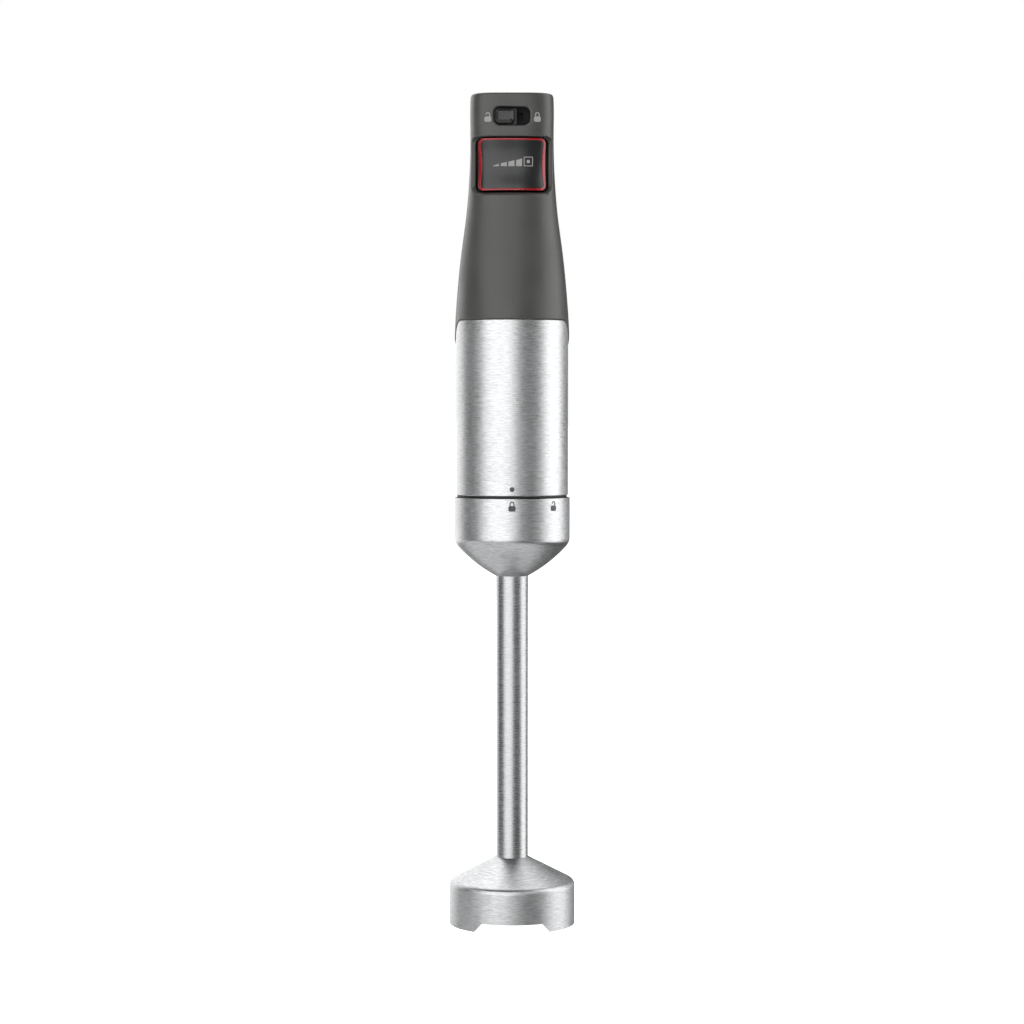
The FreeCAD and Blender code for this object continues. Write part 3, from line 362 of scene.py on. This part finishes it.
# %% [markdown]
# ## Mouldings with soft edges
# A moulded part has no sharp edges: the tool's radii leave every rim soft, and the finger well
# reads by the light on those rims. The frame's parts are sharp, so each outer moulding is
# copied, remade as an even skin of small faces, and relaxed until its edges are round by about
# one of those faces. The copy rides the same body and takes the sharp part's place.

# %% Soft-edged mouldings
MERGE_MM = 0.001          # corners closer than this are one corner
RELAX = 0.5               # how far each pass moves a corner towards its neighbours


def copy_of(node, name):
    """A loose copy of a CAD part, its triangles merged into one skin."""
    bpy.ops.object.select_all(action="DESELECT")
    source = nodes[node]
    source.select_set(True)
    bpy.context.view_layer.objects.active = source
    bpy.ops.object.duplicate()
    piece = bpy.context.object
    piece.name = name
    piece.parent = None
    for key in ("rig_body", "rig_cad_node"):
        del piece[key]
    bpy.ops.object.mode_set(mode="EDIT")
    bpy.ops.mesh.select_all(action="SELECT")
    bpy.ops.mesh.remove_doubles(threshold=MERGE_MM * MM)
    bpy.ops.object.mode_set(mode="OBJECT")
    return piece


def soften(node, name, body, voxel, passes):
    """A copy of a CAD part with all its edges rounded by about one voxel, in mm."""
    piece = copy_of(node, name)
    skin = piece.modifiers.new("skin", "REMESH")
    skin.mode = "VOXEL"
    skin.voxel_size = voxel * MM
    relax = piece.modifiers.new("relax", "SMOOTH")
    relax.factor = RELAX
    relax.iterations = passes
    for modifier in ("skin", "relax"):
        bpy.ops.object.modifier_apply(modifier=modifier)
    bpy.ops.object.shade_smooth()
    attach(piece, body)
    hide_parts(node)
    print(name, "faces", len(piece.data.polygons))


soften("handle_front_shell", "handle_front_moulding", "motor_unit", 0.5, 4)
soften("handle_back_shell", "handle_back_moulding", "motor_unit", 0.62, 4)
soften("trigger_light_ring", "light_ring_moulding", "trigger", 0.17, 4)
soften("port_flap", "port_flap_moulding", "flap", 0.22, 3)

# %% [markdown]
# ## Springs that give
# Two short coil springs push the key out again. A real one closes up as the key goes down, but
# the frame's springs are rigid. This copy is one merged skin with its place baked into its
# corners; it hangs on no body and keeps its shape, and the frame's springs are hidden.

# %% Trigger springs
springs = copy_of("trigger_springs", "trigger_coil_springs")
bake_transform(springs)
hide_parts("trigger_springs")

# %% [markdown]
# ## Edges left by the press and the grinder
# Sheet steel is deburred after it is cut, and a knob keeps its facets but loses their bite. A
# narrow bevel along the sharp edges does both, and gives each edge the thin line of light that
# tells the eye how thick the metal is.

# %% Narrow bevels on crisp parts
SHARP_DEG = 34            # an edge that turns by less is part of a curve and is left alone
EDGE_MM = {"trigger_key": 0.3, "lock_knob": 0.22, "blade_guard": 0.3, "wand_collar": 0.2,
           "blade": 0.12, "top_cap": 0.3, "blade_nut": 0.25, "driven_dog": 0.2, "drive_dog": 0.3,
           "bayonet_socket": 0.3, "bearing_housing": 0.3}
for name, width in EDGE_MM.items():
    edge = nodes[name].modifiers.new("edge", "BEVEL")
    edge.width = width * MM
    edge.segments = 2
    edge.limit_method = "ANGLE"
    edge.angle_limit = math.radians(SHARP_DEG)
    edge.use_clamp_overlap = True
print("bevelled", len(EDGE_MM), "parts")

# %% [markdown]
# ## Printed signs
# The padlocks, the speed sign and the mark on the sleeve are pad-printed: a soft pad lays ink a
# few hundredths of a millimetre thick on the curved part. Each sign is drawn flat from planes
# and rings, cut finely enough to bend, pressed onto its part, and given a thickness of ink.
#
# The first shape is a bar. It starts as a plane that faces the front. Its corners can be
# rounded, and a cut can slope its upper edge, as in the speed sign. All sizes are millimetres
# on the part, across and up.


# %% Bars
def bar(x0, x1, z0, z1, radius=0.0, left=None):
    """Flat rectangle facing -Y, corners rounded by radius; left is a lower top at its left end."""
    bpy.ops.object.select_all(action="DESELECT")
    bpy.ops.mesh.primitive_plane_add(size=MM, rotation=(math.pi / 2, 0, 0))
    bpy.ops.object.transform_apply(location=True, rotation=True, scale=True)
    piece = bpy.context.object
    bpy.ops.object.mode_set(mode="EDIT")
    bpy.ops.mesh.select_all(action="SELECT")
    bpy.ops.transform.resize(value=(x1 - x0, 1, z1 - z0))
    bpy.ops.transform.translate(value=((x0 + x1) / 2 * MM, 0, (z0 + z1) / 2 * MM))
    if radius:
        bpy.ops.mesh.bevel(offset=radius * MM, segments=4, affect="VERTICES")
    if left is not None:
        lean = Vector((-(z1 - left), 0, x1 - x0)).normalized()
        bpy.ops.mesh.bisect(plane_co=(x1 * MM, 0, z1 * MM), plane_no=lean, clear_outer=True)
    bpy.ops.object.mode_set(mode="OBJECT")
    return piece


# %% [markdown]
# ## Arches
# A padlock's shackle is half a ring on two legs. A circle is halved, its half line is extruded
# and drawn in to make the band, and the ends on the centre line are then drawn down. An end
# without a leg hangs free, which is how an open padlock is told from a closed one.

# %% Arches
RING_STEPS = 24
LEVEL_MM = 0.01           # corners nearer the centre line than this belong to a leg's top


def arch(x, z, radius, stroke, right_leg, left_leg):
    """Half ring on legs, its centre at x and z; a leg of 0 leaves that end bare."""
    bpy.ops.object.select_all(action="DESELECT")
    bpy.ops.mesh.primitive_circle_add(vertices=RING_STEPS, radius=radius * MM,
                                      rotation=(math.pi / 2, 0, 0))
    bpy.ops.object.transform_apply(location=True, rotation=True, scale=True)
    piece = bpy.context.object
    bpy.ops.object.mode_set(mode="EDIT")
    bpy.ops.mesh.select_all(action="SELECT")
    bpy.ops.mesh.bisect(plane_co=(0, 0, 0), plane_no=(0, 0, 1), clear_inner=True)
    bpy.ops.mesh.select_all(action="SELECT")
    bpy.ops.mesh.extrude_region_move()
    shrink = (radius - stroke) / radius
    bpy.ops.transform.resize(value=(shrink, 1, shrink), center_override=(0, 0, 0))
    bpy.ops.mesh.select_mode(type="VERT")
    for side, leg in ((1, right_leg), (-1, left_leg)):
        if leg:
            bpy.ops.mesh.select_all(action="DESELECT")
            bpy.ops.object.mode_set(mode="OBJECT")
            for vertex in piece.data.vertices:
                vertex.select = abs(vertex.co.z) < LEVEL_MM * MM and vertex.co.x * side > 0
            bpy.ops.object.mode_set(mode="EDIT")
            bpy.ops.mesh.extrude_region_move(
                TRANSFORM_OT_translate={"value": (0, 0, -leg * MM)})
    bpy.ops.mesh.select_all(action="SELECT")
    bpy.ops.transform.translate(value=(x * MM, 0, z * MM))
    bpy.ops.object.mode_set(mode="OBJECT")
    return piece


def padlock(x, z, size, is_open):
    """The flat pieces of a padlock: a rounded case and a shackle, free at one end when open."""
    half_w, case_h, corner = size * 0.36, size * 0.56, size * 0.17
    loop_r, stroke = size * 0.25, size * 0.11
    base = z - size / 2
    case = bar(x - half_w, x + half_w, base, base + case_h, corner)
    loop_z = base + size - loop_r
    leg = loop_z - base - case_h
    return [case, arch(x, loop_z, loop_r, stroke, leg, 0.0 if is_open else leg)]


# %% [markdown]
# ## Pressing a sign on
# The flat pieces are joined, cut into small faces and set well in front of the blender. A
# Shrinkwrap modifier then pushes every corner straight back until it meets the part, as the pad
# does, and Solidify gives the ink its thickness. A sign that sits to one side is turned round
# the axis last, so that it isn't stretched by being pushed on at a slant.

# %% Pressing a sign on
INK_MM = 0.06             # thicker than real ink, so that it clears the part under it
START_MM = 60             # well in front of every part


def printed(name, pieces, target, body, ink, turn=0.0):
    """Joins flat pieces, presses them onto a CAD part from the front and makes the ink solid."""
    bpy.ops.object.select_all(action="DESELECT")
    for piece in pieces:
        piece.select_set(True)
    sign = pieces[0]
    bpy.context.view_layer.objects.active = sign
    if len(pieces) > 1:
        bpy.ops.object.join()
    sign.name = name
    bpy.ops.object.mode_set(mode="EDIT")
    bpy.ops.mesh.select_all(action="SELECT")
    bpy.ops.mesh.quads_convert_to_tris()
    bpy.ops.mesh.subdivide(number_cuts=3)
    bpy.ops.transform.translate(value=(0, -START_MM * MM, 0))
    bpy.ops.mesh.normals_make_consistent(inside=False)
    bpy.ops.object.mode_set(mode="OBJECT")
    if sign.data.polygons[0].normal.y > 0:
        sign.data.flip_normals()
    press = sign.modifiers.new("press", "SHRINKWRAP")
    press.target = nodes[target]
    press.wrap_method = "PROJECT"
    press.wrap_mode = "ABOVE_SURFACE"
    press.use_project_y = True
    press.offset = INK_MM * MM
    solid = sign.modifiers.new("ink", "SOLIDIFY")
    solid.thickness = INK_MM * MM
    solid.offset = 1.0
    for modifier in ("press", "ink"):
        bpy.ops.object.modifier_apply(modifier=modifier)
    if turn:
        bpy.ops.object.mode_set(mode="EDIT")
        bpy.ops.mesh.select_all(action="SELECT")
        bpy.ops.transform.rotate(value=-math.radians(turn), orient_axis="Z",
                                 center_override=(0, 0, 0))
        bpy.ops.object.mode_set(mode="OBJECT")
    sign.data.materials.clear()
    sign.data.materials.append(ink)
    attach(sign, body)
    reach = [vertex.co.y / MM for vertex in sign.data.vertices]
    print(name, "faces", len(sign.data.polygons), "y", round(min(reach), 2), round(max(reach), 2))


# %% [markdown]
# ## Signs beside the lock
# An open padlock left of the lock's slot and a closed one to its right say which way it slides.
# They sit at the level of the knob, close to the slot's ends.

# %% Signs beside the lock
# the eye gets: flat pale grey, a little dusty, with no shine of its own
grey_ink = moulded("Pad-print ink, light grey", "#868685", "#929291", 0.5, 0.4, 0.004)
LOCK_Z = 401.2            # level of the signs beside the lock
OPEN_X, CLOSED_X = -11.8, 12.4
SIGN_H = 4.7
printed("open_padlock_sign", padlock(OPEN_X, LOCK_Z, SIGN_H, True), "handle_front_shell",
        "motor_unit", grey_ink)
printed("closed_padlock_sign", padlock(CLOSED_X, LOCK_Z, SIGN_H, False), "handle_front_shell",
        "motor_unit", grey_ink)

# %% [markdown]
# ## Speed sign
# The key's sign is a row of bars that grow, ending in a boxed mark: press harder, run faster.
# The upper edges of the bars lie along one rising line, so each has a lower height at its left.

# %% Speed sign
SPEED_Z = 377.4           # foot of the whole row
# left and right end of each bar, then its height at the right end and at the left
STEPS = ((-9.3, -6.4, 1.3, 0.3), (-5.5, -2.5, 2.1, 1.5), (-1.8, 1.2, 3.0, 2.2),
         (2.0, 4.95, 3.8, 3.0))
BOX_X, BOX_W, BOX_H, LINE = 5.8, 4.45, 4.7, 0.35
INSET_X, INSET_Z, CORNER = 1.5, 1.6, 0.3      # the mark inside the box
box_end = BOX_X + BOX_W
box_top = SPEED_Z + BOX_H
speed = [bar(x0, x1, SPEED_Z, SPEED_Z + high, 0.0, SPEED_Z + low) for x0, x1, high, low in STEPS]
speed += [bar(BOX_X, BOX_X + LINE, SPEED_Z, box_top),
          bar(box_end - LINE, box_end, SPEED_Z, box_top),
          bar(BOX_X + LINE, box_end - LINE, SPEED_Z, SPEED_Z + LINE),
          bar(BOX_X + LINE, box_end - LINE, box_top - LINE, box_top),
          bar(BOX_X + INSET_X, box_end - INSET_X, SPEED_Z + INSET_Z, box_top - INSET_Z, CORNER)]
printed("speed_sign", speed, "trigger_key", "trigger", grey_ink)

# %% [markdown]
# ## Signs on the steel
# Two dark padlocks on the collar show where the wand is locked and where it comes free, and a
# dot on the sleeve is what they are lined up with. The open one is as far round the collar as
# the coupling turns.

# %% Signs on the sleeve and the collar
# the eye gets: crisp dark grey on bright steel
dark_ink = moulded("Pad-print ink, dark grey", "#3a3a3b", "#434344", 0.5, 0.4, 0.004)
MARK_Z, MARK_H = 210.45, 4.9
DOT_Z, DOT_R = 218.8, 1.2
TWIST_DEG = 45
# a square whose corners are rounded until almost nothing of its sides is left
disc = bar(-DOT_R, DOT_R, DOT_Z - DOT_R, DOT_Z + DOT_R, DOT_R - 0.01)
printed("sleeve_dot", [disc], "motor_sleeve", "motor_unit", dark_ink)
printed("collar_closed_sign", padlock(0, MARK_Z, MARK_H, False), "wand_collar", "wand", dark_ink)
printed("collar_open_sign", padlock(0, MARK_Z, MARK_H, True), "wand_collar", "wand", dark_ink,
        TWIST_DEG)

# %% [markdown]
# ## Floor
# The blender stands on a wide white floor that shines a little by itself where the camera sees
# it, so it runs into the white behind without a line. It is left out of reflections, so the
# upright bands of light run on down to the guard instead of stopping at a pale edge. It stops
# no light either, so the soft box under it shines through.

# %% Floor
FLOOR_M = 60              # so wide that its edge is never seen
FLOOR_GLOW = 1.2
bpy.ops.mesh.primitive_plane_add(size=FLOOR_M, location=(0, 0, 0))
floor = bpy.context.object
floor.name = "floor"
# the eye gets: plain white, with no shine and no edge
paper, tree, shader = blank("White paper floor")
shader.inputs["Base Color"].default_value = hex_linear("#f2f2f2")
shader.inputs["Roughness"].default_value = 0.9
shader.inputs["Emission Color"].default_value = hex_linear("#ffffff")
path = add(tree, "ShaderNodeLightPath")
glow = add(tree, "ShaderNodeMath", {"operation": "MULTIPLY", 1: FLOOR_GLOW},
           {0: path.outputs["Is Camera Ray"]})
tree.links.new(glow.outputs[0], shader.inputs["Emission Strength"])
unseen = add(tree, "ShaderNodeMath", {"operation": "MAXIMUM"},
             {0: path.outputs["Is Glossy Ray"], 1: path.outputs["Is Shadow Ray"]})
clear = add(tree, "ShaderNodeBsdfTransparent")
either = add(tree, "ShaderNodeMixShader",
             links={0: unseen.outputs[0], 1: shader.outputs[0], 2: clear.outputs[0]})
tree.links.new(either.outputs[0], tree.nodes["Material Output"].inputs["Surface"])
floor.data.materials.append(paper)
print("floor", floor.dimensions[0], "m across")

# %% [markdown]
# ## The room
# A studio is never quite dark: walls send back a little light from every side. The world gives
# that weak grey fill, while the camera itself sees plain white behind the blender, as on a
# white sweep. Mixing two backgrounds by the kind of ray keeps the two apart.

# %% World
SEEN_WHITE, ROOM_FILL = 1.0, 0.125
world = bpy.data.worlds.new("studio")
bpy.context.scene.world = world
world.use_nodes = True
tree = world.node_tree
tree.nodes.clear()
seen = add(tree, "ShaderNodeLightPath").outputs["Is Camera Ray"]
sweep = add(tree, "ShaderNodeBackground", {"Color": hex_linear("#ffffff"), "Strength": SEEN_WHITE})
room = add(tree, "ShaderNodeBackground", {"Color": hex_linear("#ffffff"), "Strength": ROOM_FILL})
mix = add(tree, "ShaderNodeMixShader", links={0: seen, 1: room.outputs[0], 2: sweep.outputs[0]})
add(tree, "ShaderNodeOutputWorld", links={"Surface": mix.outputs[0]})
print("world fill", ROOM_FILL)

# %% [markdown]
# ## Soft boxes
# Polished and brushed steel shows mostly what stands round it, so the lights are placed for
# their reflections. A wide box in front on the left gives the broad pale band, narrower ones at
# the right and behind give the bright edges, and the gaps between them stay as dark bands. Two
# high boxes light the cap and one under the floor stands for the white paper's own light, which
# brightens the collar's cone from below.

# %% Soft boxes
AIM_Z = 0.24              # every box faces the foot of the sleeve
# bearing in degrees from the front, positive to the right; then height, distance from the
# blender, width and height of the box in metres; then watts
BOXES = {
    "front_left_box": (-27, 0.7, 1.9, 2.7, 2.4, 42.5),
    "right_box": (92, 0.6, 1.4, 1.42, 2.3, 25),
    "back_left_box": (-146, 0.66, 1.8, 2.2, 2.3, 28),
    "top_box": (-140, 2.0, 0.9, 1.5, 1.5, 7.5),
    "top_right_box": (165, 1.9, 0.9, 1.6, 1.4, 11),
    "floor_bounce": (-60, -0.9, 0.4, 3.4, 3.0, 26),
}
for name, (bearing, height, reach, width, tall, watts) in BOXES.items():
    turn = math.radians(bearing)
    light = bpy.data.lights.new(name, "AREA")
    light.shape = "RECTANGLE"
    light.size = width
    light.size_y = tall
    light.energy = watts
    lamp = bpy.data.objects.new(name, light)
    lamp.location = (math.sin(turn) * reach, -math.cos(turn) * reach, height)
    aim = Vector((0, 0, AIM_Z)) - lamp.location
    lamp.rotation_euler = aim.to_track_quat("-Z", "Y").to_euler()
    bpy.context.scene.collection.objects.link(lamp)
    print(name, watts, "W")

# %% [markdown]
# ## Camera
# A long lens a little over a metre away keeps the upright lines straight. It looks slightly
# down, just enough to show the top of the guard and the curve of each seam.

# %% Camera
AWAY_M, EYE_M = 1.283, 0.2602         # in front of the axis, and above the floor
DOWN_DEG = 2.39
LENS_MM, SENSOR_MM = 90.2, 36
camera = bpy.data.objects.new("camera", bpy.data.cameras.new("camera"))
bpy.context.scene.collection.objects.link(camera)
camera.location = (0, -AWAY_M, EYE_M)
camera.rotation_euler = (math.radians(90 - DOWN_DEG), 0, 0)
camera.data.lens = LENS_MM
camera.data.sensor_width = SENSOR_MM
bpy.context.scene.camera = camera
bpy.context.scene.view_settings.view_transform = "Standard"
print("camera", AWAY_M, "m away, lens", LENS_MM, "mm")
